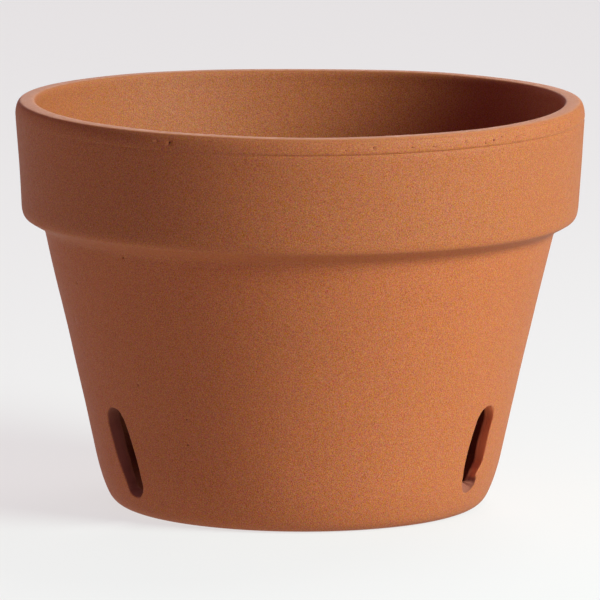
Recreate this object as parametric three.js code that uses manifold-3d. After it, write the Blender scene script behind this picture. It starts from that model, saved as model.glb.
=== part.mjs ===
// A terracotta orchid pot with a nominal 8 inch rim: a tapered wall under a deep rim band, tall vents
// cut low in the wall, and a drain hole in the floor. It is pressed from one lump of clay and fired, so
// it is one solid. Millimetres, +Z up, with the origin on the ground under the middle of the pot.

import * as THREE from "three";
import { mergeVertices } from "three/addons/utils/BufferGeometryUtils.js";
import Module from "manifold-3d";

// Overall size.
const HEIGHT = 144;
const RIM_RADIUS = 101.5;
const FOOT_RADIUS = 62.6; // where the flat underside ends

// Outer wall: a straight cone, tucked in a little above the foot.
const WALL_RADIUS_AT_GROUND = 68.5; // of the cone, carried down to the ground
const WALL_TAPER = 0.228; // radius gained per millimetre of height
const HEEL_TOP = 5.2; // the corner of the foot ends here
const HEEL_RADIUS = 68.5;
const HEEL_SLOPE = 0.45; // radius gained per millimetre of height at the top of the heel
const TUCK_TOP = 20; // the tuck has run out into the cone here

// Inner wall: another cone, which leaves the wall 5.7 mm thick at the vents and 7 mm at the top.
const BORE_RADIUS_AT_GROUND = 62.9;
const BORE_TAPER = 0.22;

// Rim band and lip.
const CREASE_HEIGHT = 99.5; // where the underside of the band meets the wall
const BAND_UNDERSIDE_WIDTH = 6.6;
const BAND_UNDERSIDE_RISE = 3.6;
const BAND_BOTTOM_RADIUS = 99.5;
const BAND_BOTTOM_HEIGHT = 108; // where the rounded lower edge of the band becomes its flat side
const LIP_OUTER_WIDTH = 2.1; // the lip's outer shoulder is a quarter of an ellipse
const LIP_OUTER_DROP = 5;
const LIP_INNER_WIDTH = 1.2; // and so is its inner edge
const LIP_INNER_DROP = 3.5;

// Floor.
const FLOOR_TOP = 7;
const FLOOR_FILLET = 6;
const DRAIN_RADIUS = 11;
const RECESS_RADIUS = 50; // shallow hollow under the floor, so that the pot stands on a ring
const RECESS_DEPTH = 1.2;
const RECESS_BEVEL = 2;

// Vents: upright slots with round ends, cut straight through the wall by hand, so not quite evenly.
// An angle is measured round the axis from the front, -Y, towards +X. A lean turns a slot
// counter-clockwise as seen from outside. Both are in degrees. Bottom and top are the heights of the
// ends before the slot is leaned.
const VENTS = [
  { angle: -58, lean: 9, bottom: 7.9, top: 40.3 },
  { angle: 58, lean: -4, bottom: 9.7, top: 41.2 },
  { angle: 180, lean: 0, bottom: 8.2, top: 40.2 },
];
const VENT_WIDTH = 12;
const VENT_CUT_START = 55; // the cutter reaches from here, inside the pot,
const VENT_CUT_LENGTH = 32; // this far out

// Fineness.
const SIDES = 96;
const CURVE_STEPS = 3;
const MERGE_DISTANCE = 1e-4;

const clay = new THREE.MeshStandardMaterial({ color: 0xc1794f, roughness: 0.92, metalness: 0 });

const wallRadius = (z) => WALL_RADIUS_AT_GROUND + WALL_TAPER * z;
const boreRadius = (z) => BORE_RADIUS_AT_GROUND + BORE_TAPER * z;

// The outside of the pot, from the flat foot up to the outer end of the lip's top.
function addOutside(path) {
  path.bezierCurveTo(
    FOOT_RADIUS + 3.9, 0,
    HEEL_RADIUS - HEEL_SLOPE * 3.4, HEEL_TOP - 3.4,
    HEEL_RADIUS, HEEL_TOP,
  );
  // The tuck leaves the heel at its slope and joins the cone at the cone's own.
  const tuckGain = wallRadius(TUCK_TOP) - HEEL_RADIUS;
  const tuckHeight = TUCK_TOP - HEEL_TOP;
  const bend = (tuckGain - WALL_TAPER * tuckHeight) / (HEEL_SLOPE - WALL_TAPER);
  path.quadraticCurveTo(
    HEEL_RADIUS + HEEL_SLOPE * bend, HEEL_TOP + bend,
    wallRadius(TUCK_TOP), TUCK_TOP,
  );
  path.lineTo(wallRadius(CREASE_HEIGHT), CREASE_HEIGHT);

  const edgeRadius = wallRadius(CREASE_HEIGHT) + BAND_UNDERSIDE_WIDTH;
  const edgeHeight = CREASE_HEIGHT + BAND_UNDERSIDE_RISE;
  path.lineTo(edgeRadius, edgeHeight);
  path.quadraticCurveTo(
    BAND_BOTTOM_RADIUS - 0.2, edgeHeight + 0.9,
    BAND_BOTTOM_RADIUS, BAND_BOTTOM_HEIGHT,
  );

  const shoulderHeight = HEIGHT - LIP_OUTER_DROP;
  path.lineTo(RIM_RADIUS, shoulderHeight);
  path.absellipse(
    RIM_RADIUS - LIP_OUTER_WIDTH, shoulderHeight,
    LIP_OUTER_WIDTH, LIP_OUTER_DROP,
    0, Math.PI / 2, false, 0,
  );
}

// The inside, from the inner end of the lip's top down to the flat floor.
function addInside(path) {
  const edgeBottom = HEIGHT - LIP_INNER_DROP;
  path.absellipse(
    boreRadius(edgeBottom) + LIP_INNER_WIDTH, edgeBottom,
    LIP_INNER_WIDTH, LIP_INNER_DROP,
    Math.PI / 2, Math.PI, false, 0,
  );
  // A fillet that touches both the sloping bore and the level floor.
  const lean = Math.atan(BORE_TAPER);
  const centreHeight = FLOOR_TOP + FLOOR_FILLET;
  const centreRadius = boreRadius(centreHeight) - FLOOR_FILLET / Math.cos(lean);
  path.absarc(centreRadius, centreHeight, FLOOR_FILLET, -lean, -Math.PI / 2, true);
}

// The drain hole and the underside, back to where the outline started.
function addUnderside(path) {
  path.lineTo(DRAIN_RADIUS, FLOOR_TOP);
  path.lineTo(DRAIN_RADIUS, RECESS_DEPTH);
  path.lineTo(RECESS_RADIUS - RECESS_BEVEL, RECESS_DEPTH);
  path.lineTo(RECESS_RADIUS, 0);
}

// The turned shape of the pot, as a closed outline swept round the axis.
function turnedBody() {
  const outline = new THREE.Path();
  outline.moveTo(RECESS_RADIUS, 0);
  outline.lineTo(FOOT_RADIUS, 0);
  addOutside(outline);
  addInside(outline);
  addUnderside(outline);
  const geometry = new THREE.LatheGeometry(outline.getPoints(CURVE_STEPS), SIDES);
  return geometry.rotateX(Math.PI / 2);
}

// The cutter for one vent, lying along -Y before it is turned to its place round the wall.
function ventCutter({ angle, lean, bottom, top }) {
  const radius = VENT_WIDTH / 2;
  const reach = (top - bottom) / 2 - radius; // from the middle to the centre of an end
  const outline = new THREE.Shape();
  outline.absarc(0, reach, radius, 0, Math.PI, false);
  outline.absarc(0, -reach, radius, Math.PI, 2 * Math.PI, false);
  const geometry = new THREE.ExtrudeGeometry(outline, {
    depth: VENT_CUT_LENGTH,
    bevelEnabled: false,
    curveSegments: 2 * CURVE_STEPS,
  });
  geometry.rotateZ(THREE.MathUtils.degToRad(lean));
  geometry.rotateX(Math.PI / 2);
  geometry.translate(0, -VENT_CUT_START, (top + bottom) / 2);
  return geometry.rotateZ(THREE.MathUtils.degToRad(angle));
}

const wasm = await Module();
wasm.setup();

// A closed three.js geometry as a manifold solid.
function toSolid(geometry) {
  const bare = geometry.clone();
  bare.deleteAttribute("normal");
  bare.deleteAttribute("uv");
  const merged = mergeVertices(bare, MERGE_DISTANCE);
  return new wasm.Manifold(
    new wasm.Mesh({
      numProp: 3,
      vertProperties: merged.attributes.position.array,
      triVerts: new Uint32Array(merged.index.array),
    }),
  );
}

// A manifold solid as a three.js geometry.
function toGeometry(solid) {
  const mesh = solid.getMesh();
  const geometry = new THREE.BufferGeometry();
  geometry.setAttribute("position", new THREE.BufferAttribute(mesh.vertProperties, 3));
  geometry.setIndex(new THREE.BufferAttribute(mesh.triVerts, 1));
  geometry.computeVertexNormals();
  return geometry;
}

// The whole pot: the turned body with its vents cut out.
function makePot() {
  let solid = toSolid(turnedBody());
  for (const vent of VENTS) {
    solid = solid.subtract(toSolid(ventCutter(vent)));
  }
  const pot = new THREE.Mesh(toGeometry(solid), clay);
  pot.name = "pot";
  return pot;
}

const part = new THREE.Group();
part.add(makePot());

export default part;
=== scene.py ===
"""The visual model of a terracotta orchid pot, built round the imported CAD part.

The clay is one closed mesh: a turned profile swept round the axis on a grid of rows and columns.
Patches of the grid are rebuilt round each vent, with rounded and slightly ragged edges, and round
each pinhole. Lengths are millimetres until the mesh is written in metres. Angles are measured round
the axis from the front, -Y, towards +X.
"""

import math

import bmesh
import bpy
import numpy as np
from mathutils import Matrix, Vector


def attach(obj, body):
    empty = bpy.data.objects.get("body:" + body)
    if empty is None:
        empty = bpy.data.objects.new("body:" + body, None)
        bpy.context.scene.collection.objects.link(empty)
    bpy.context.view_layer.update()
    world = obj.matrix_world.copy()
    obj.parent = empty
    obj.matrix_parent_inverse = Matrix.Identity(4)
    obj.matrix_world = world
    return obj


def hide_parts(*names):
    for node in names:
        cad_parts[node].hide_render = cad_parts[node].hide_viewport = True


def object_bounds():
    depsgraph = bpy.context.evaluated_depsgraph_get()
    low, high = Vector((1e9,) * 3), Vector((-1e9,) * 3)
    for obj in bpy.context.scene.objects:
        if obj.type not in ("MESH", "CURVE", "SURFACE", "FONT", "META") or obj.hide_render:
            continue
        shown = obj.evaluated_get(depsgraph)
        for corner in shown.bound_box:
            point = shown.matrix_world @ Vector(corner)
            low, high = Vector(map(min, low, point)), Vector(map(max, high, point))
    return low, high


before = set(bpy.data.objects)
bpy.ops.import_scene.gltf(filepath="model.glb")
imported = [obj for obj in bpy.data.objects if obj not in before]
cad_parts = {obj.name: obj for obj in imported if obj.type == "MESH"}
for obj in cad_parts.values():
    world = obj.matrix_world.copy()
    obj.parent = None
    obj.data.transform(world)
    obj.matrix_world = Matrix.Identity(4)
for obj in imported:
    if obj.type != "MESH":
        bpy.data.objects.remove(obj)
cad_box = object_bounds()

MM = 0.001
RIM_RADIUS = cad_box[1].x / MM
HEIGHT = cad_box[1].z / MM

# The turned shape.
FOOT_RADIUS = 62.6
RECESS_RADIUS = 50.0
RECESS_DEPTH = 1.2
RECESS_BEVEL = 2.0
DRAIN_RADIUS = 11.0
HEEL = (68.5, 5.2)  # top of the foot's rounded corner
HEEL_CONTROL = (66.6, 0.4)  # the point that pulls the corner's curve outwards
TUCK_TOP = 20.0
TUCK_CONTROL = (71.1, 10.8)  # and the one that pulls the tuck's
WALL_RADIUS_AT_GROUND = 68.5
WALL_TAPER = 0.228
CREASE_HEIGHT = 99.5
CREASE_FILLET = 2.2  # how far the rounding reaches along the wall and the band's underside
BAND_CORNER = (97.8, 103.1)
BAND_CONTROL = (99.3, 104.0)
BAND_BOTTOM = (99.5, 108.0)
SHOULDER = (2.1, 5.0)  # width and height of the lip's rounded outer edge
LIP_INNER = (1.2, 3.5)  # and of its inner edge
BORE_RADIUS_AT_GROUND = 62.9
BORE_TAPER = 0.22
FLOOR_TOP = 7.0
FLOOR_FILLET = 6.0
EDGE_SOFTNESS = 0.45  # how far sharp corners are rubbed away

# Fine lines round the rim band, as (height, depth, half width, angle where it is strongest).
PARTING_LINE = (138.1, 0.50, 0.32, 25.0)
TRIM_LINE = (143.35, 0.20, 0.22, 12.0)
LINE_WANDER = 0.08  # how far they stray up and down
LINE_REMAINS = 0.08  # the share of their depth that is left on the far side
LINE_FALL_OFF = 6  # how fast they fade round the pot

# The fired rim isn't quite level. It dips, or rises where negative, from RIM_LIFT above its nominal
# height, as (angle, depth, spread in degrees). All of this fades out down to WARP_BOTTOM.
RIM_LIFT = 0.70
RIM_DIPS = (
    (0.0, 0.70, 38.0),
    (180.0, 0.95, 32.0),
    (90.0, -0.65, 24.0),
    (-90.0, -0.25, 24.0),
)
WARP_BOTTOM = 95.0

# Nor is the pot quite round. The wall and band are drawn in a little, as (angle, depth, heights): from the
# first height, most at the second, and up to the third.
DRAWN_IN = (
    (90.0, 0.40, (15.0, 55.0, 95.0)),
    (-90.0, 0.30, (8.0, 35.0, 95.0)),
    (-90.0, 0.35, (95.0, 115.0, 160.0)),
)
DRAWN_IN_FALL_OFF = 4  # how fast that fades round the pot

# Slow waves over the whole surface, as (waves round, waves up, size). Each has a smaller slanted one with
# it. They fade in between two heights above the foot.
SLOW_WAVES = ((2, 1, 0.10), (3, 2, 0.07), (5, 3, 0.05), (9, 5, 0.03))
SLANTED_SIZE = 0.4
SLANTED_EXTRA_ROUND = 6
SLANTED_CLIMB = 1.7
SLANT = 0.7
PHASES = 6  # drawn for each wave
WAVES_FADE_IN = (0.5, 9.0)

# Vents, cut by hand. A lean is in degrees, anticlockwise as seen from outside. Drag is how far the
# opening in the inner skin has been pulled to the vent's right. A lump is clay that was left in the
# lower end: how far it stands in, from the vent's right or, if negative, from its left; how much of that
# reaches the inner skin; and the heights where it is whole and where it is gone. Bow is how far the
# vent's right side, or its left if negative, is bowed out. Sill is how much higher the cut's lower end is
# at the inner skin than at the outer one. The last entry is the share of painted light on the cut face:
# 1 for a face painted bright as if lit, and 0 for one painted dark as if in shade. The lower end always
# gets painted shade.
VENT_RADIUS = 6.0
VENTS = (
    {"angle": -58.0, "lean": 9.0, "bottom": 7.9, "top": 40.3, "drag": 0.0,
     "lump": (-2.4, 0.2, 11.0, 24.0), "bow": 0.7, "sill": 0.0, "fresh": 0.0},
    {"angle": 58.0, "lean": -4.0, "bottom": 9.7, "top": 41.2, "drag": 2.8,
     "lump": (2.6, 1.4, 15.0, 20.0), "bow": -1.0, "sill": 3.9, "fresh": 1.0},
    {"angle": 180.0, "lean": 0.0, "bottom": 8.2, "top": 40.2, "drag": -0.4,
     "lump": (0.6, 0.6, 12.0, 20.0), "bow": 0.3, "sill": 0.5, "fresh": 0.4},
)
SILL_SHAPE = 1.5  # above 1, the sill keeps to the middle of the lower end
OUTER_EDGE_ROUND = 0.5
INNER_EDGE_ROUND = 1.6
INNER_ROUND_LIMITS = (0.4, 2.4)
LEAST_ROUND = 0.25  # where the floor is close
EDGE_TURNS = (90, 65, 40, 18, 0)  # degrees of a rounded edge still to go, from the skin to the cut face
SKIN_SHARES = (0.72, 0.46, 0.24, 0.09)  # where a patch's loops lie between the vent and its border
FACE_SHARES = (0.2, 0.4, 0.6, 0.8)  # and between the cut face's outer and inner ends

# How ragged the vents are, as (waves round the loop, size). The edges' sizes are shares of their rounding.
RAGGED_OUTER_CUT = (14, 0.10)
RAGGED_INNER_CUT = (22, 0.28)
RAGGED_OUTER_EDGE = (9, 0.22)
RAGGED_OUTER_EDGE_LIMITS = (-0.5, 0.8)
RAGGED_INNER_EDGE = (12, 0.18)
RAGGED_FACE = (30, 0.06)

# Pinholes that stand out, as (angle, height, radius). Most are on the lip's rounded shoulder.
PINHOLES = (
    (7.4, 140.3, 0.22), (13.0, 140.8, 0.26), (21.0, 140.4, 0.24), (25.6, 140.2, 0.28),
    (33.0, 140.9, 0.20), (38.0, 139.6, 0.34), (40.2, 140.3, 0.44), (42.4, 141.2, 0.30),
    (46.6, 140.4, 0.22), (48.9, 140.3, 0.20), (62.0, 140.6, 0.22), (68.5, 140.9, 0.30),
    (78.0, 139.9, 0.24), (-27.9, 141.2, 0.46), (-30.6, 141.3, 0.26), (-32.4, 31.0, 0.40),
    (-31.9, 25.0, 0.28), (-30.8, 46.5, 0.32), (-31.8, 40.5, 0.28),
)
PINHOLE_DEPTH = 0.9  # of its radius

# Stray ones, from the right round the back to the left, on the outside or in the bore. A place's height
# is the lowest one and a random share of a span.
STRAY_PINHOLES = 46
STRAY_ANGLES = (70.0, 330.0)
STRAY_RADII = (0.22, 0.45)
STRAY_OUTSIDE_SHARE = 0.65
STRAY_LOWEST = 12.0
STRAY_SPAN_OUTSIDE = 130.0
STRAY_SPAN_INSIDE = 90.0
STRAY_DEPTH = 0.8  # of its radius

# A pinhole's crater: its patch's reach in radii, how ragged it is, and its rings as (share of the radius,
# share of the depth, darkness of the painted shade).
CRATER_BORDER = 1.5
RAGGED_CRATER = (3, 0.12)
CRATER_RINGS = ((1.2, 0.0, 0.0), (0.95, 0.25, 0.5), (0.6, 0.8, 1.0))

# Marks for the material.
EDGE_WEAR_AND_SHADE = 1.6  # wear and painted highlight on convex bends, painted shade in concave ones, for each radian per millimetre of the outline's bend
LIP_TOP_LIGHT = 2.4  # how much painted light is added on the lip's upward-facing top
LIP_TOP_FACES_UP = (0.80, 0.97)  # the upward part of its normal, where that starts and where it is whole
VENT_EDGE_WEAR_AND_HIGHLIGHT = 0.5  # wear and painted highlight in the middle of a vent's rounded edges
BORE_SHADE_HEIGHTS = (22.0, 75.0)  # painted shade in the bore is darkest below the first and gone above the second
BORE_SHADE_SKIN = (0.2, 1.0)  # how deep in the clay the painted shade starts to fade and is gone

# The grid.
COLUMNS = 360
ROW_SPACING = 2.4
FINE_STEP = 0.1  # of the outline that the rows are picked from
TANGENT_STEPS = 3  # fine steps to either side that its tangent is taken over
ROWS_PER_RADIAN = 4.0
LINE_ROWS = 5.5  # extra rows per millimetre in the fine lines
LINE_ROWS_SPREAD = 1.6  # in half widths of the line
VENT_ROWS = 28
VENT_HALF_COLUMNS = 9
VENT_ROWS_OUTSIDE = (3.2, 43.5)  # heights of the rows that border a vent's patch
VENT_ROWS_INSIDE = (56.5, 43.5)  # radius on the floor, and height
SEED = 8


def smooth_step(low, high, x):
    """0 below low, 1 above high, and smooth between them."""
    t = np.clip((x - low) / (high - low), 0.0, 1.0)
    return t * t * (3.0 - 2.0 * t)


def apart(angle, degrees):
    """How many degrees an angle in radians is away from another in degrees."""
    turn = angle - math.radians(degrees)
    return np.degrees(np.abs(np.arctan2(np.sin(turn), np.cos(turn))))


def facing(angle, degrees):
    """1 where an angle in radians looks the given way, falling smoothly to 0 on the far side."""
    return 0.5 + 0.5 * np.cos(angle - math.radians(degrees))


# ---------------------------------------------------------------- the turned profile


def curve(start, control, end, steps=12):
    """Points on a quadratic curve."""
    t = np.linspace(0.0, 1.0, steps + 1)[:, None]
    start, control, end = np.array(start), np.array(control), np.array(end)
    return list((1 - t) ** 2 * start + 2 * t * (1 - t) * control + t * t * end)


def arc(centre, radii, start, end, steps=16):
    """Points on part of an ellipse, between two angles in degrees."""
    turns = np.radians(np.linspace(start, end, steps + 1))
    return [(centre[0] + radii[0] * math.cos(a), centre[1] + radii[1] * math.sin(a)) for a in turns]


def profile_outline():
    """The clay's outline as (radius, height): out along the underside, up the outside, down the inside."""
    crease = np.array((WALL_RADIUS_AT_GROUND + WALL_TAPER * CREASE_HEIGHT, CREASE_HEIGHT))
    down_the_wall = -np.array((WALL_TAPER, 1.0)) / math.hypot(WALL_TAPER, 1.0)
    under_the_band = (BAND_CORNER - crease) / np.linalg.norm(BAND_CORNER - crease)
    tuck = (WALL_RADIUS_AT_GROUND + WALL_TAPER * TUCK_TOP, TUCK_TOP)
    lip_height = HEIGHT - LIP_INNER[1]
    lip_radius = BORE_RADIUS_AT_GROUND + BORE_TAPER * lip_height + LIP_INNER[0]
    lean = math.atan(BORE_TAPER)
    fillet_height = FLOOR_TOP + FLOOR_FILLET
    fillet_radius = BORE_RADIUS_AT_GROUND + BORE_TAPER * fillet_height - FLOOR_FILLET / math.cos(lean)

    points = [(DRAIN_RADIUS, RECESS_DEPTH)]
    points += [(RECESS_RADIUS - RECESS_BEVEL, RECESS_DEPTH), (RECESS_RADIUS, 0.0)]
    points += curve((FOOT_RADIUS, 0.0), HEEL_CONTROL, HEEL)
    points += curve(HEEL, TUCK_CONTROL, tuck)
    points += curve(crease + CREASE_FILLET * down_the_wall, crease, crease + CREASE_FILLET * under_the_band)
    points += curve(BAND_CORNER, BAND_CONTROL, BAND_BOTTOM)
    points += arc((RIM_RADIUS - SHOULDER[0], HEIGHT - SHOULDER[1]), SHOULDER, 0, 90)
    points += arc((lip_radius, lip_height), LIP_INNER, 90, 180)
    points += arc((fillet_radius, fillet_height), (FLOOR_FILLET, FLOOR_FILLET), -math.degrees(lean), -90)
    points += [(DRAIN_RADIUS, FLOOR_TOP)]
    return np.array(points)


def even_steps(points):
    """The closed polyline through some points, in even fine steps, and its length."""
    closed = np.vstack([points, points[:1]])
    along = np.concatenate([[0.0], np.cumsum(np.hypot(*np.diff(closed, axis=0).T))])
    steps = np.linspace(0.0, along[-1], int(along[-1] / FINE_STEP), endpoint=False)
    return np.stack([np.interp(steps, along, closed[:, k]) for k in (0, 1)], axis=1), along[-1]


def blurred(points, spread):
    """A closed, evenly stepped polyline averaged along its length."""
    reach = int(4 * spread)
    weights = np.exp(-0.5 * (np.arange(-reach, reach + 1) / spread) ** 2)
    weights /= weights.sum()
    wrapped = np.vstack([points[-reach:], points, points[:reach]])
    return np.stack([np.convolve(wrapped[:, k], weights, mode="valid") for k in (0, 1)], axis=1)


class Profile:
    """The softened outline. A place is a distance along it, from the drain hole's lower edge."""

    def __init__(self):
        fine, self.length = even_steps(profile_outline())
        fine = blurred(fine, EDGE_SOFTNESS / FINE_STEP)
        self.along = np.linspace(0.0, self.length, len(fine), endpoint=False)
        self.radius, self.height = fine.T
        self.height = self.height - self.height.min()
        tangent = np.roll(fine, -TANGENT_STEPS, axis=0) - np.roll(fine, TANGENT_STEPS, axis=0)
        tangent /= np.hypot(*tangent.T)[:, None]
        before = np.roll(tangent, TANGENT_STEPS, axis=0)
        after = np.roll(tangent, -TANGENT_STEPS, axis=0)
        self.normal_out, self.normal_up = tangent[:, 1], -tangent[:, 0]
        # Turn per millimetre: above 0 where the clay's surface is convex.
        turn = before[:, 0] * after[:, 1] - before[:, 1] * after[:, 0]
        self.bend = turn / (2 * TANGENT_STEPS * FINE_STEP)
        # The lip's top is flat, so its outer end is picked by being nearest the shoulder too.
        self.top = int(np.argmax(self.height - 0.01 * np.abs(self.radius - RIM_RADIUS + SHOULDER[0])))
        self.foot = int(np.argmin(np.hypot(self.radius - FOOT_RADIUS, self.height)))
        self.top_place = self.along[self.top]

    def at(self, values, place):
        """Values along the outline, read at a place."""
        return np.interp(place, np.append(self.along, self.length), np.append(values, values[0]))

    def outside(self, height):
        """The place where the outside reaches a height."""
        climb = slice(self.foot, self.top)
        return np.interp(height, np.maximum.accumulate(self.height[climb]), self.along[climb])

    def inside(self, height):
        """The place where the inside comes down to a height above the floor."""
        end = self.top + int(np.argmin(np.abs(self.radius[self.top:] - VENT_ROWS_INSIDE[0])))
        fall = slice(self.top, end)
        return np.interp(-np.asarray(height), np.maximum.accumulate(-self.height[fall]), self.along[fall])

    def floor(self, radius):
        """The place where the floor has come in to a radius."""
        inward = slice(self.top, len(self.along))
        return np.interp(-radius, np.maximum.accumulate(-self.radius[inward]), self.along[inward])

    def row_density(self):
        """Rows per millimetre: more where the outline bends or carries a fine line."""
        density = 1.0 / ROW_SPACING + ROWS_PER_RADIAN * np.abs(self.bend)
        for height, _, width, _ in (PARTING_LINE, TRIM_LINE):
            near = np.exp(-0.5 * ((self.height - height) / (LINE_ROWS_SPREAD * width)) ** 2)
            density += np.where(self.along < self.top_place, LINE_ROWS * near, 0.0)
        return density

    def rows(self):
        """The places of the rows, and the first and last row of the vents' patches outside and inside."""
        outside = [float(self.outside(h)) for h in VENT_ROWS_OUTSIDE]
        inside = [float(self.inside(VENT_ROWS_INSIDE[1])), float(self.floor(VENT_ROWS_INSIDE[0]))]
        total = np.concatenate([[0.0], np.cumsum(self.row_density()) * FINE_STEP])
        grid = np.append(self.along, self.length)
        places, starts = [], []
        bounds = [0.0, *outside, *inside, self.length]
        for number, (start, end) in enumerate(zip(bounds, bounds[1:])):
            starts.append(len(places))
            if number in (1, 3):  # along the vents' patches
                places += list(np.linspace(start, end, VENT_ROWS, endpoint=False))
                continue
            first, last = np.interp([start, end], grid, total)
            count = max(2, round(last - first))
            places += list(np.interp(np.linspace(first, last, count, endpoint=False), total, grid))
        return np.array(places), (starts[1], starts[2]), (starts[3], starts[4])


# ---------------------------------------------------------------- the clay's surface


class Clay:
    """The pot's mesh in the making: points, faces and marks on the points for the material."""

    def __init__(self):
        self.random = np.random.default_rng(SEED)
        self.profile = Profile()
        self.places, self.vent_rows_out, self.vent_rows_in = self.profile.rows()
        self.phases = self.random.uniform(0.0, 2 * math.pi, (len(SLOW_WAVES), PHASES))
        rows = len(self.places)
        columns = np.arange(COLUMNS) * 2 * math.pi / COLUMNS
        place, angle = np.meshgrid(self.places, columns, indexing="ij")
        self.points = list(self.skin(place.ravel(), angle.ravel()))
        # The wear mark: paler rubbed edges with a painted highlight, painted light on the lip's
        # upward-facing top, and painted shade in creases, where it is below 0.
        bend = np.repeat(self.profile.at(self.profile.bend, self.places), COLUMNS)
        top = smooth_step(*LIP_TOP_FACES_UP, self.profile.at(self.profile.normal_up, self.places))
        top = np.repeat(top * (self.profile.at(self.profile.height, self.places) > WARP_BOTTOM), COLUMNS)
        self.marks = {name: [0.0] * len(self.points) for name in ("pit", "cut", "fresh")}
        self.marks["wear"] = list(np.clip(EDGE_WEAR_AND_SHADE * bend, -1.0, 1.0) + LIP_TOP_LIGHT * top)
        self.index = np.arange(rows * COLUMNS).reshape(rows, COLUMNS)
        self.open = np.zeros((rows, COLUMNS), bool)  # grid cells that a patch takes the place of
        self.faces = []

    def relief(self, place, height, angle):
        """How far the surface stands proud of the turned profile: waves, fine lines, places drawn in."""
        wave = np.zeros_like(height)
        for (turns, climbs, size), phase in zip(SLOW_WAVES, self.phases):
            climb = climbs * 2 * math.pi * height / HEIGHT
            wave += size * np.cos(turns * angle + phase[0]) * np.cos(climb + phase[1])
            slanted = np.cos((turns + SLANTED_EXTRA_ROUND) * angle + phase[2] + SLANT * climb)
            wave += SLANTED_SIZE * size * slanted * np.cos(SLANTED_CLIMB * climb + phase[3])
        wave *= smooth_step(*WAVES_FADE_IN, height)
        outside = place < self.profile.top_place
        for line_height, depth, width, strongest in (PARTING_LINE, TRIM_LINE):
            faded = facing(angle, strongest) ** LINE_FALL_OFF
            strength = LINE_REMAINS + (1.0 - LINE_REMAINS) * faded
            wander = LINE_WANDER * np.cos(3 * angle + self.phases[0, 4])
            groove = np.exp(-0.5 * ((height - line_height - wander) / width) ** 2)
            wave -= np.where(outside, depth * strength * groove, 0.0)
        for middle, depth, (low, most, high) in DRAWN_IN:
            band = smooth_step(low, most, height) * (1.0 - smooth_step(most, high, height))
            wave -= np.where(outside, depth * band * facing(angle, middle) ** DRAWN_IN_FALL_OFF, 0.0)
        return wave

    def skin(self, place, angle):
        """Points on the clay's surface, at places along the profile and angles round the axis."""
        profile = self.profile
        radius = profile.at(profile.radius, place)
        height = profile.at(profile.height, place)
        proud = self.relief(place, height, angle)
        radius = radius + profile.at(profile.normal_out, place) * proud
        lift = RIM_LIFT
        for dip, depth, spread in RIM_DIPS:
            lift = lift - depth * np.exp(-(apart(angle, dip) / spread) ** 2)
        lift = lift * smooth_step(WARP_BOTTOM, HEIGHT, height)
        height = height + profile.at(profile.normal_up, place) * proud + lift
        return np.stack([radius * np.sin(angle), -radius * np.cos(angle), height], axis=-1)

    def add_points(self, points, **marks):
        """Adds points and gives their numbers. A mark is one number or one for each point."""
        first = len(self.points)
        self.points += list(points)
        for name, values in self.marks.items():
            values += list(np.broadcast_to(marks.get(name, 0.0), len(points)))
        return np.arange(first, first + len(points))

    def bridge(self, one, other):
        """A strip of faces between two loops of the same length."""
        self.faces += list(np.stack([one, np.roll(one, -1), np.roll(other, -1), other], axis=1))

    def border(self, rows, columns):
        """The loop of grid points round a block of cells, which is left open for a patch."""
        for row, next_row in zip(rows, rows[1:]):
            for column in columns[:-1]:
                self.open[min(row, next_row), column % COLUMNS] = True
        loop = [(rows[0], c) for c in columns[:-1]] + [(r, columns[-1]) for r in rows[:-1]]
        loop += [(rows[-1], c) for c in columns[:0:-1]] + [(r, columns[0]) for r in rows[:0:-1]]
        row, column = np.array(loop).T
        return self.index[row, column % COLUMNS], self.places[row], column * 2 * math.pi / COLUMNS

    def depth_inside(self):
        """1 where shade is painted on the bottom of the bore, falling to 0 up the bore and through the
        clay.
        """
        across, along, height = np.array(self.points).T
        past_bore = np.hypot(across, along) - (BORE_RADIUS_AT_GROUND + BORE_TAPER * height)
        inside = 1.0 - smooth_step(*BORE_SHADE_SKIN, past_bore)
        inside *= smooth_step(RECESS_DEPTH, FLOOR_TOP - 1.0, height)
        return inside * (1.0 - smooth_step(*BORE_SHADE_HEIGHTS, height))

    def finish(self):
        """The mesh object, in metres."""
        rows, columns = np.nonzero(~self.open)
        after = np.roll(self.index, -1, axis=0)
        beside = np.roll(self.index, -1, axis=1)
        across = np.roll(after, -1, axis=1)
        cells = np.stack([grid[rows, columns] for grid in (self.index, beside, across, after)], axis=1)
        faces = [tuple(int(v) for v in face) for face in list(cells) + self.faces]
        mesh = bpy.data.meshes.new("pot_clay")
        mesh.from_pydata([tuple(MM * p) for p in self.points], [], faces)
        self.marks["deep"] = self.depth_inside()
        for name, values in self.marks.items():
            attribute = mesh.attributes.new(name, "FLOAT", "POINT")
            attribute.data.foreach_set("value", np.array(values, np.float32))
        work = bmesh.new()
        work.from_mesh(mesh)
        bmesh.ops.delete(work, geom=[v for v in work.verts if not v.link_faces], context="VERTS")
        bmesh.ops.recalc_face_normals(work, faces=work.faces)
        for face in work.faces:
            face.smooth = True
        work.to_mesh(mesh)
        work.free()
        pot = bpy.data.objects.new("pot_clay", mesh)
        bpy.context.scene.collection.objects.link(pot)
        return pot


def wobble(random, count, harmonics, size):
    """A smooth ragged line round a loop."""
    turn = np.arange(count) * 2 * math.pi / count
    line = np.zeros(count)
    for k in range(1, harmonics + 1):
        line += random.normal(0.0, 1.0) * np.cos(k * turn + random.uniform(0.0, 2 * math.pi)) / math.sqrt(k)
    return size * line / max(1e-9, np.std(line))


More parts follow.
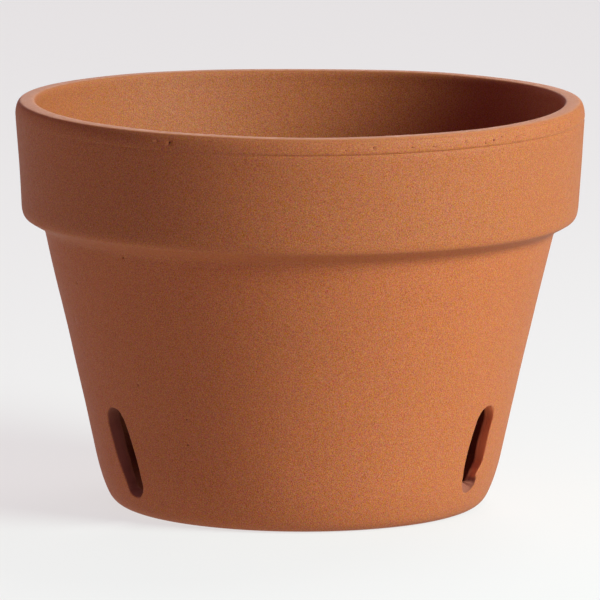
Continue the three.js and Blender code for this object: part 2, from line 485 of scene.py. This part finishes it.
def cut_vent(clay, angle, lean, bottom, top, drag, lump, bow, sill, fresh):
    """Rebuilds the wall round a vent: both skins, the rounded edges and the cut face between them."""
    vent = math.radians(angle)
    middle = round(angle / 360.0 * COLUMNS)
    columns = np.arange(middle - VENT_HALF_COLUMNS, middle + VENT_HALF_COLUMNS + 1)
    outer_rows = np.arange(clay.vent_rows_out[0], clay.vent_rows_out[1] + 1)
    inner_rows = np.arange(clay.vent_rows_in[0], clay.vent_rows_in[1] + 1)[::-1]
    outer_loop, outer_place, outer_angle = clay.border(outer_rows, columns)
    inner_loop, inner_place, inner_angle = clay.border(inner_rows, columns)
    profile = clay.profile
    outwards = np.array([math.sin(vent), -math.cos(vent), 0.0])

    def sideways(place, angle):
        """How far to the vent's right a point of a skin is."""
        return profile.at(profile.radius, place) * np.sin(angle - vent)

    def on_skin(side, place):
        """Points on a skin, from their sideways distance and place."""
        return clay.skin(place, vent + np.arcsin(side / profile.at(profile.radius, place)))

    # The cut's outline: each point of the border looks at the nearest point of the vent's middle line.
    border_side = sideways(outer_place, outer_angle)
    border_height = profile.at(profile.height, outer_place)
    line_side, line_up = -math.sin(math.radians(lean)), math.cos(math.radians(lean))
    middle_height = 0.5 * (bottom + top)
    half_line = 0.5 * (top - bottom) - VENT_RADIUS
    along = border_side * line_side + (border_height - middle_height) * line_up
    along = np.clip(along, -half_line, half_line)
    near_side, near_height = along * line_side, middle_height + along * line_up
    reach = np.hypot(border_side - near_side, border_height - near_height)
    look_side, look_up = (border_side - near_side) / reach, (border_height - near_height) / reach
    count = len(outer_loop)
    lump_size, lump_inside, *lump_heights = lump
    filled = 1.0 - smooth_step(*lump_heights, near_height + VENT_RADIUS * look_up)
    filled *= abs(lump_size) * np.clip(math.copysign(1.0, lump_size) * look_side, 0.0, 1.0) ** 2
    bowed = abs(bow) * np.clip(math.copysign(1.0, bow) * look_side, 0.0, 1.0)
    bowed *= 1.0 - (along / half_line) ** 2
    outer_cut = VENT_RADIUS + wobble(clay.random, count, *RAGGED_OUTER_CUT) - filled + bowed
    inner_cut = VENT_RADIUS + wobble(clay.random, count, *RAGGED_INNER_CUT)
    inner_cut += drag * look_side - lump_inside * filled
    lower_end = np.clip(-look_up, 0.0, 1.0)
    inner_cut -= sill * lower_end ** SILL_SHAPE
    # The lower end of the cut gets only the painted shade.
    fresh = fresh * (1.0 - smooth_step(0.0, 0.5, lower_end))

    def outline(cut, spread):
        """The sideways distances and heights of the cut's outline, spread outwards."""
        return near_side + look_side * (cut + spread), near_height + look_up * (cut + spread)

    def skin_loops(loop, place, angle, cut, round_off, place_of):
        """Loops on one skin from the border in to where the rounded edge starts."""
        side, height = outline(cut, round_off)
        near_place = place_of(height)
        far_side = sideways(place, angle)
        loops = [loop]
        for share in SKIN_SHARES:
            share_side = side + share * (far_side - side)
            share_place = near_place + share * (place - near_place)
            loops.append(clay.add_points(on_skin(share_side, share_place)))
        return loops

    def edge_loops(cut, round_off, place_of, inwards):
        """Loops over a rounded edge, from the skin round to the cut face, and the last one's points."""
        loops = []
        for degrees in EDGE_TURNS:
            turn = math.radians(degrees)
            done = 1.0 - degrees / 90.0
            side, height = outline(cut, round_off * (1 - math.cos(turn)))
            sunk = np.outer(round_off * (1 - math.sin(turn)), inwards * outwards)
            points = on_skin(side, place_of(height)) + sunk
            # Wear and a painted highlight along the middle of the rounded edge.
            wear = VENT_EDGE_WEAR_AND_HIGHLIGHT * math.sin(2 * turn)
            loops.append(clay.add_points(points, cut=done, wear=wear, fresh=fresh * done))
        return loops, points

    across = np.array([math.cos(vent), math.sin(vent), 0.0])
    ragged = wobble(clay.random, count, *RAGGED_OUTER_EDGE)
    outer_round = OUTER_EDGE_ROUND * (1.0 + np.clip(ragged, *RAGGED_OUTER_EDGE_LIMITS))
    ragged = wobble(clay.random, count, *RAGGED_INNER_EDGE)
    inner_round = np.clip(INNER_EDGE_ROUND * (1.0 + ragged), *INNER_ROUND_LIMITS)
    inner_height = outline(inner_cut, 0.0)[1]
    inner_round = np.minimum(inner_round, np.maximum(LEAST_ROUND, inner_height - FLOOR_TOP))
    loops = skin_loops(outer_loop, outer_place, outer_angle, outer_cut, outer_round, profile.outside)
    edge, outer_end = edge_loops(outer_cut, outer_round, profile.outside, -1.0)
    loops += edge
    inner_edge, inner_end = edge_loops(inner_cut, inner_round, profile.inside, 1.0)
    for share in FACE_SHARES:
        drawn = np.outer(wobble(clay.random, count, *RAGGED_FACE), across)
        face = outer_end + share * (inner_end - outer_end) + drawn
        loops.append(clay.add_points(face, cut=1.0, fresh=fresh))
    loops += inner_edge[::-1]
    inner_skin = skin_loops(inner_loop, inner_place, inner_angle, inner_cut, inner_round, profile.inside)
    loops += inner_skin[::-1]
    for one, other in zip(loops, loops[1:]):
        clay.bridge(one, other)


def sink_pit(clay, degrees, place, radius, depth):
    """Rebuilds a few cells as a small crater, unless some are part of another patch."""
    profile = clay.profile
    row = int(np.argmin(np.abs(clay.places - place)))
    column = round(degrees / 360.0 * COLUMNS)
    low = high = row
    while place - clay.places[low] < CRATER_BORDER * radius:
        low -= 1
    while clay.places[high] - place < CRATER_BORDER * radius:
        high += 1
    spacing = profile.at(profile.radius, place) * 2 * math.pi / COLUMNS
    half = max(1, math.ceil(CRATER_BORDER * radius / spacing))
    rows, columns = np.arange(low, high + 1), np.arange(column - half, column + half + 1)
    if clay.open[low:high, columns[:-1] % COLUMNS].any():
        return
    loop, places, angles = clay.border(rows, columns)
    middle = math.radians(degrees)
    around = profile.at(profile.radius, place)
    side, up = (angles - middle) * around, places - place
    reach = np.hypot(side, up)
    ragged = 1.0 + wobble(clay.random, len(loop), *RAGGED_CRATER)
    out, upward = profile.at(profile.normal_out, place), profile.at(profile.normal_up, place)
    normal = np.array([out * math.sin(middle), -out * math.cos(middle), upward])
    loops = [loop]
    for share, sink, dark in CRATER_RINGS:
        spread = radius * share * ragged
        points = clay.skin(place + up / reach * spread, middle + side / reach * spread / around)
        # The pit mark paints shade in the crater, darkest in the middle.
        loops.append(clay.add_points(points - sink * depth * normal, pit=dark))
    for one, other in zip(loops, loops[1:]):
        clay.bridge(one, other)
    lowest = clay.skin(np.array([place]), np.array([middle])) - depth * normal
    bottom = clay.add_points(lowest, pit=1.0)[0]
    last = loops[-1]
    clay.faces += [(a, b, bottom) for a, b in zip(last, np.roll(last, -1))]


def sink_pinholes(clay):
    """The pinholes that stand out, and stray ones over the rest of the outside and the bore."""
    profile = clay.profile
    for degrees, height, radius in PINHOLES:
        sink_pit(clay, degrees, float(profile.outside(height)), radius, PINHOLE_DEPTH * radius)
    for _ in range(STRAY_PINHOLES):
        degrees = clay.random.uniform(*STRAY_ANGLES)
        share = clay.random.uniform(0.0, 1.0)
        radius = clay.random.uniform(*STRAY_RADII)
        if clay.random.random() < STRAY_OUTSIDE_SHARE:
            place = profile.outside(STRAY_LOWEST + STRAY_SPAN_OUTSIDE * share)
        else:
            place = profile.inside(STRAY_LOWEST + STRAY_SPAN_INSIDE * share)
        sink_pit(clay, degrees, float(place), radius, STRAY_DEPTH * radius)


# ---------------------------------------------------------------- the material

# Colours of the clay, in linear light.
BODY = (0.304, 0.086, 0.030, 1.0)
CLOUDED_BODY = (0.282, 0.083, 0.031, 1.0)
# Painted shade for the bottom of the bore.
BORE_SHADE = (0.03, 0.012, 0.012, 1.0)
IRON = (0.10, 0.032, 0.018, 1.0)
PALE_SAND = (0.48, 0.25, 0.12, 1.0)
# Rubbed edges: real wear and a painted highlight; also painted light on the lip's top.
RUBBED_EDGE_AND_HIGHLIGHT = (0.44, 0.165, 0.070, 1.0)
# Painted shade in creases.
CREASE_SHADE = (0.15, 0.04, 0.018, 1.0)
# Painted shade and painted light for the vents' cut faces.
SHADED_CUT = (0.19, 0.064, 0.046, 1.0)
LIT_CUT = (0.80, 0.27, 0.12, 1.0)
# Painted shade in pinholes.
PINHOLE_SHADE = (0.06, 0.018, 0.010, 1.0)

# The body colour is multiplied by these: painted light, most at the foot, and painted shade on the rim
# band.
FOOT_LIGHT = 1.14
CREASE_LIGHT = 1.08
WALL_TONE = (1.0, 1.0, 1.0, 1.0)
BAND_SHADE = (0.90, 0.94, 0.97, 1.0)

# Noise in the body, as (size in metres, how much it lightens and darkens), or how much for each channel.
CLOUD_SIZE = 0.045
FINE_GRAIN = (0.00034, 1.0)
COARSE_GRAIN = (0.0022, 0.03)
PATCHES = (0.009, 0.04)
TINT = (0.0016, (0.03, 0.22, 1.0))
SAND_TINT = (0.00036, (0.0, 1.25, 2.7))
GREY = (0.5, 0.5, 0.5)

# Scattered grains, as (spacing, radius, share of the cells that hold one), in metres, and their strength.
IRON_GRAINS = (0.0024, 0.00028, 0.25)
IRON_STRENGTH = 0.42
PALE_GRAINS = (0.0017, 0.00024, 0.14)
PALE_STRENGTH = 0.35

# How far each mark goes towards its colour.
BORE_SHADE_STRENGTH = 0.55
RUBBED_AND_HIGHLIGHT_STRENGTH = 0.16
CREASE_SHADE_STRENGTH = 0.22
CUT_STRENGTH = 0.85
PINHOLE_SHADE_STRENGTH = 0.6

# Gloss, and the heights of the relief in millimetres.
ROUGHNESS = 0.60
ROUGHNESS_RANGE = 0.25
DULL_ROUGHNESS = 0.40  # added on cut faces and where the bottom of the bore is painted dark
SPECULAR = 0.10
FINE_RELIEF = 0.035
COARSE_RELIEF = 0.045
PATCH_RELIEF = 0.08


class Nodes:
    """Short ways to add shader nodes to a material."""

    def __init__(self, name):
        self.material = bpy.data.materials.new(name)
        self.material.use_nodes = True
        self.tree = self.material.node_tree
        self.shader = self.tree.nodes["Principled BSDF"]

    def add(self, kind, values=None, **settings):
        """A new node, with values or links for its inputs by name, and its settings."""
        made = self.tree.nodes.new(kind)
        for name, value in settings.items():
            setattr(made, name, value)
        for name, value in (values or {}).items():
            self.put(made.inputs[name], value)
        return made

    def put(self, socket, value):
        """Sets an input, or links it if the value is another node's output."""
        if isinstance(value, bpy.types.NodeSocket):
            self.tree.links.new(value, socket)
        else:
            socket.default_value = value

    def math(self, operation, *values):
        made = self.add("ShaderNodeMath", operation=operation)
        for socket, value in zip(made.inputs, values):
            self.put(socket, value)
        return made.outputs[0]

    def vector_math(self, operation, *values):
        made = self.add("ShaderNodeVectorMath", operation=operation)
        for socket, value in zip(made.inputs, values):
            self.put(socket, value)
        return made.outputs[0]

    def attribute(self, name):
        """A mark on the mesh's points."""
        return self.add("ShaderNodeAttribute", attribute_name=name).outputs["Fac"]

    def noise(self, where, size, detail=2.0, roughness=0.5):
        """Noise whose blotches are about size metres across."""
        values = {"Vector": where, "Scale": 1.0 / size, "Detail": detail, "Roughness": roughness}
        return self.add("ShaderNodeTexNoise", values)

    def ramp(self, value, start, end, low=0.0, high=1.0):
        """Low where the value is at the start, high where it is at the end, and straight between them."""
        values = {"Value": value, "From Min": start, "From Max": end, "To Min": low, "To Max": high}
        return self.add("ShaderNodeMapRange", values).outputs[0]

    def spots(self, where, spacing, radius, share):
        """1 inside small round spots, in a share of the cells of a scattered pattern."""
        cells = self.add("ShaderNodeTexVoronoi", {"Vector": where, "Scale": 1.0 / spacing})
        edge = {"From Min": radius / spacing, "From Max": 0.5 * radius / spacing}
        inside = self.add("ShaderNodeMapRange", {"Value": cells.outputs["Distance"], **edge},
                          interpolation_type="SMOOTHSTEP")
        picked = self.add("ShaderNodeSeparateColor", {"Color": cells.outputs["Color"]})
        chosen = self.math("LESS_THAN", picked.outputs[0], share)
        return self.math("MULTIPLY", inside.outputs[0], chosen)

    def mix(self, share, one, other):
        """One colour where the share is 0, the other where it is 1."""
        made = self.add("ShaderNodeMix", data_type="RGBA")
        for name, value in (("Factor_Float", share), ("A_Color", one), ("B_Color", other)):
            socket = next(s for s in made.inputs if s.identifier == name)
            self.put(socket, value)
        return next(s for s in made.outputs if s.identifier == "Result_Color")


def terracotta():
    """Unglazed fired clay: a sandy orange body with fine light and dark grains."""
    nodes = Nodes("terracotta")
    where = nodes.add("ShaderNodeTexCoord").outputs["Object"]

    def centred(socket, size):
        """Noise moved to vary by about size on either side of 0."""
        return nodes.math("MULTIPLY", nodes.math("SUBTRACT", socket, 0.5), size)

    def toward_colour(colour, share, strength, other):
        """A colour moved towards another, by a share and a strength."""
        return nodes.mix(nodes.math("MULTIPLY", share, strength), colour, other)

    def tinted(noise, amounts):
        """Noise that varies each channel by its own amount on either side of 0."""
        varied = nodes.vector_math("SUBTRACT", noise.outputs["Color"], GREY)
        return nodes.vector_math("MULTIPLY", varied, amounts)

    # Broad clouding in the body colour. Painted light makes the body paler, most at the foot, painted shade
    # darkens the rim band a little, and painted shade darkens the bottom of the bore.
    clouds = nodes.noise(where, CLOUD_SIZE, detail=3.0).outputs["Fac"]
    body = nodes.mix(clouds, BODY, CLOUDED_BODY)
    height = nodes.add("ShaderNodeSeparateXYZ", {"Vector": where}).outputs["Z"]
    paler = nodes.ramp(height, 0.0, CREASE_HEIGHT * MM, FOOT_LIGHT, CREASE_LIGHT)
    band_shading = nodes.ramp(height, CREASE_HEIGHT * MM, BAND_BOTTOM[1] * MM)
    body = nodes.vector_math("MULTIPLY", body, paler)
    body = nodes.vector_math("MULTIPLY", body, nodes.mix(band_shading, WALL_TONE, BAND_SHADE))
    deep = nodes.attribute("deep")
    body = toward_colour(body, deep, BORE_SHADE_STRENGTH, BORE_SHADE)

    # Grain: the same sand lightens and darkens all three channels, and tints them.
    fine = nodes.noise(where, FINE_GRAIN[0], detail=0.0).outputs["Fac"]
    coarse = nodes.noise(where, COARSE_GRAIN[0]).outputs["Fac"]
    patch = nodes.noise(where, PATCHES[0]).outputs["Fac"]
    light = nodes.math("ADD", centred(fine, FINE_GRAIN[1]), centred(coarse, COARSE_GRAIN[1]))
    light = nodes.math("ADD", light, centred(patch, PATCHES[1]))
    light = nodes.math("ADD", light, 1.0)
    tint = tinted(nodes.noise(where, TINT[0], roughness=0.8), TINT[1])
    sand = tinted(nodes.noise(where, SAND_TINT[0], detail=0.0), SAND_TINT[1])
    tint = nodes.vector_math("ADD", tint, sand)
    colour = nodes.vector_math("MULTIPLY", body, nodes.vector_math("ADD", tint, light))
    colour = toward_colour(colour, nodes.spots(where, *IRON_GRAINS), IRON_STRENGTH, IRON)
    colour = toward_colour(colour, nodes.spots(where, *PALE_GRAINS), PALE_STRENGTH, PALE_SAND)

    # Edges get wear and a painted highlight, the lip's top painted light, creases (below 0) and pinholes
    # painted shade.
    wear = nodes.attribute("wear")
    cut = nodes.attribute("cut")
    crease = nodes.math("MAXIMUM", nodes.math("MULTIPLY", wear, -1.0), 0.0)
    colour = toward_colour(colour, nodes.math("MAXIMUM", wear, 0.0), RUBBED_AND_HIGHLIGHT_STRENGTH, RUBBED_EDGE_AND_HIGHLIGHT)
    colour = toward_colour(colour, crease, CREASE_SHADE_STRENGTH, CREASE_SHADE)
    # Cut faces get painted shade, or painted light where their mark is 1.
    cut_colour = nodes.mix(nodes.attribute("fresh"), SHADED_CUT, LIT_CUT)
    colour = toward_colour(colour, cut, CUT_STRENGTH, cut_colour)
    colour = toward_colour(colour, nodes.attribute("pit"), PINHOLE_SHADE_STRENGTH, PINHOLE_SHADE)
    nodes.put(nodes.shader.inputs["Base Color"], colour)

    # Cut faces and the bottom of the bore, where shade is painted, are rougher, so they hardly catch the
    # light.
    roughness = nodes.math("ADD", centred(coarse, ROUGHNESS_RANGE), ROUGHNESS)
    dull = nodes.math("MULTIPLY", nodes.math("MAXIMUM", cut, deep), DULL_ROUGHNESS)
    nodes.put(nodes.shader.inputs["Roughness"], nodes.math("ADD", roughness, dull))
    nodes.put(nodes.shader.inputs["Specular IOR Level"], SPECULAR)

    # Sandy relief: fine grains over shallow dents.
    relief = nodes.math("MULTIPLY", fine, FINE_RELIEF)
    relief = nodes.math("ADD", relief, nodes.math("MULTIPLY", coarse, COARSE_RELIEF))
    relief = nodes.math("ADD", relief, nodes.math("MULTIPLY", patch, PATCH_RELIEF))
    bump = nodes.add("ShaderNodeBump", {"Height": relief, "Distance": MM, "Strength": 1.0})
    nodes.put(nodes.shader.inputs["Normal"], bump.outputs[0])
    return nodes.material


# ---------------------------------------------------------------- the studio

CAMERA_AZIMUTH = -1.5
CAMERA_ELEVATION = 8.74
CAMERA_ROLL = 0.29
CAMERA_DISTANCE = 2.861
CAMERA_LENS = 480.0
CAMERA_TARGET = Vector((0.00033, 0.0, 0.505 * HEIGHT * MM))

# Lights, as (azimuth, elevation, strength, colour), and for the suns how many degrees they are across.
# A colour above 1 only makes that channel stronger.
SOFTBOX = (60.0, 26.0, 45.0, (0.97, 1.20, 1.10))
SOFTBOX_WIDTH = 0.8
LIGHT_DISTANCE = 1.6
SUNS = {
    "back_light": (150.0, 50.0, 0.8, (1.0, 0.95, 0.93), 30.0),
    "low_fill": (-135.0, 8.0, 0.56, (1.12, 0.45, 0.26), 24.0),
    "back_fill": (180.0, 18.0, 0.7, (1.0, 0.85, 0.80), 24.0),
    "front_fill": (8.0, 30.0, 0.17, (0.95, 0.30, 0.70), 24.0),
}
WORLD_STRENGTH = 0.14
WORLD_COLOUR = (0.95, 0.62, 1.15)
TABLE_COLOUR = (0.2, 0.2, 0.2, 1.0)
TABLE_GLOW_COLOUR = (1.0, 0.98, 0.975, 1.0)
TABLE_GLOW = 0.67
TABLE_RADIUS = 60.0


def toward(azimuth, elevation):
    """The unit vector from the pot to something, azimuth degrees round to the right of the front."""
    a, e = math.radians(azimuth), math.radians(elevation)
    return Vector((math.sin(a) * math.cos(e), -math.cos(a) * math.cos(e), math.sin(e)))


def add_camera():
    """A long lens from the photograph's angle, rolled a little as it was."""
    data = bpy.data.cameras.new("camera")
    data.sensor_width = 36.0
    data.lens = CAMERA_LENS
    data.clip_start, data.clip_end = 0.1, 100.0
    camera = bpy.data.objects.new("camera", data)
    back = toward(CAMERA_AZIMUTH, CAMERA_ELEVATION)
    look = (-back).to_track_quat("-Z", "Y").to_matrix().to_4x4()
    roll = Matrix.Rotation(math.radians(CAMERA_ROLL), 4, "Z")
    camera.matrix_world = Matrix.Translation(CAMERA_TARGET + back * CAMERA_DISTANCE) @ look @ roll
    bpy.context.scene.collection.objects.link(camera)
    bpy.context.scene.camera = camera


def add_light(name, kind, azimuth, elevation, energy, colour):
    """A light that shines at the pot. Its distance only matters where it isn't a sun."""
    data = bpy.data.lights.new(name, kind)
    data.energy = energy
    data.color = colour
    light = bpy.data.objects.new(name, data)
    light.location = CAMERA_TARGET + toward(azimuth, elevation) * LIGHT_DISTANCE
    light.rotation_mode = "QUATERNION"
    light.rotation_quaternion = (-toward(azimuth, elevation)).to_track_quat("-Z", "Y")
    light.visible_camera = False
    bpy.context.scene.collection.objects.link(light)
    return data


def add_lights():
    """The large soft source on the right, and the suns."""
    softbox = add_light("softbox", "AREA", *SOFTBOX)
    softbox.shape = "DISK"
    softbox.size = SOFTBOX_WIDTH
    for name, (*aim_and_light, across) in SUNS.items():
        sun = add_light(name, "SUN", *aim_and_light)
        sun.angle = math.radians(across)


def add_world():
    """Dim light from all round."""
    world = bpy.data.worlds.new("studio")
    world.use_nodes = True
    background = world.node_tree.nodes["Background"]
    background.inputs["Color"].default_value = (*WORLD_COLOUR, 1.0)
    background.inputs["Strength"].default_value = WORLD_STRENGTH
    bpy.context.scene.world = world


def light_table():
    """A matt sheet lit from below, so that it stays pale with only a soft shadow under the pot."""
    nodes = Nodes("light_table")
    nodes.put(nodes.shader.inputs["Base Color"], TABLE_COLOUR)
    nodes.put(nodes.shader.inputs["Roughness"], 0.9)
    nodes.put(nodes.shader.inputs["Specular IOR Level"], 0.0)
    nodes.put(nodes.shader.inputs["Emission Color"], TABLE_GLOW_COLOUR)
    nodes.put(nodes.shader.inputs["Emission Strength"], TABLE_GLOW)
    return nodes.material


def add_floor():
    """A wide disc for the pot to stand on."""
    mesh = bpy.data.meshes.new("floor")
    work = bmesh.new()
    bmesh.ops.create_circle(work, cap_ends=True, radius=TABLE_RADIUS, segments=96)
    work.to_mesh(mesh)
    work.free()
    floor = bpy.data.objects.new("floor", mesh)
    floor.data.materials.append(light_table())
    bpy.context.scene.collection.objects.link(floor)


add_camera()
add_lights()
add_world()
add_floor()
bpy.context.scene.view_settings.view_transform = "Standard"

clay = Clay()
for vent in VENTS:
    cut_vent(clay, **vent)
sink_pinholes(clay)
pot = clay.finish()
pot.data.materials.append(terracotta())
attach(pot, "root")
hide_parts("pot")
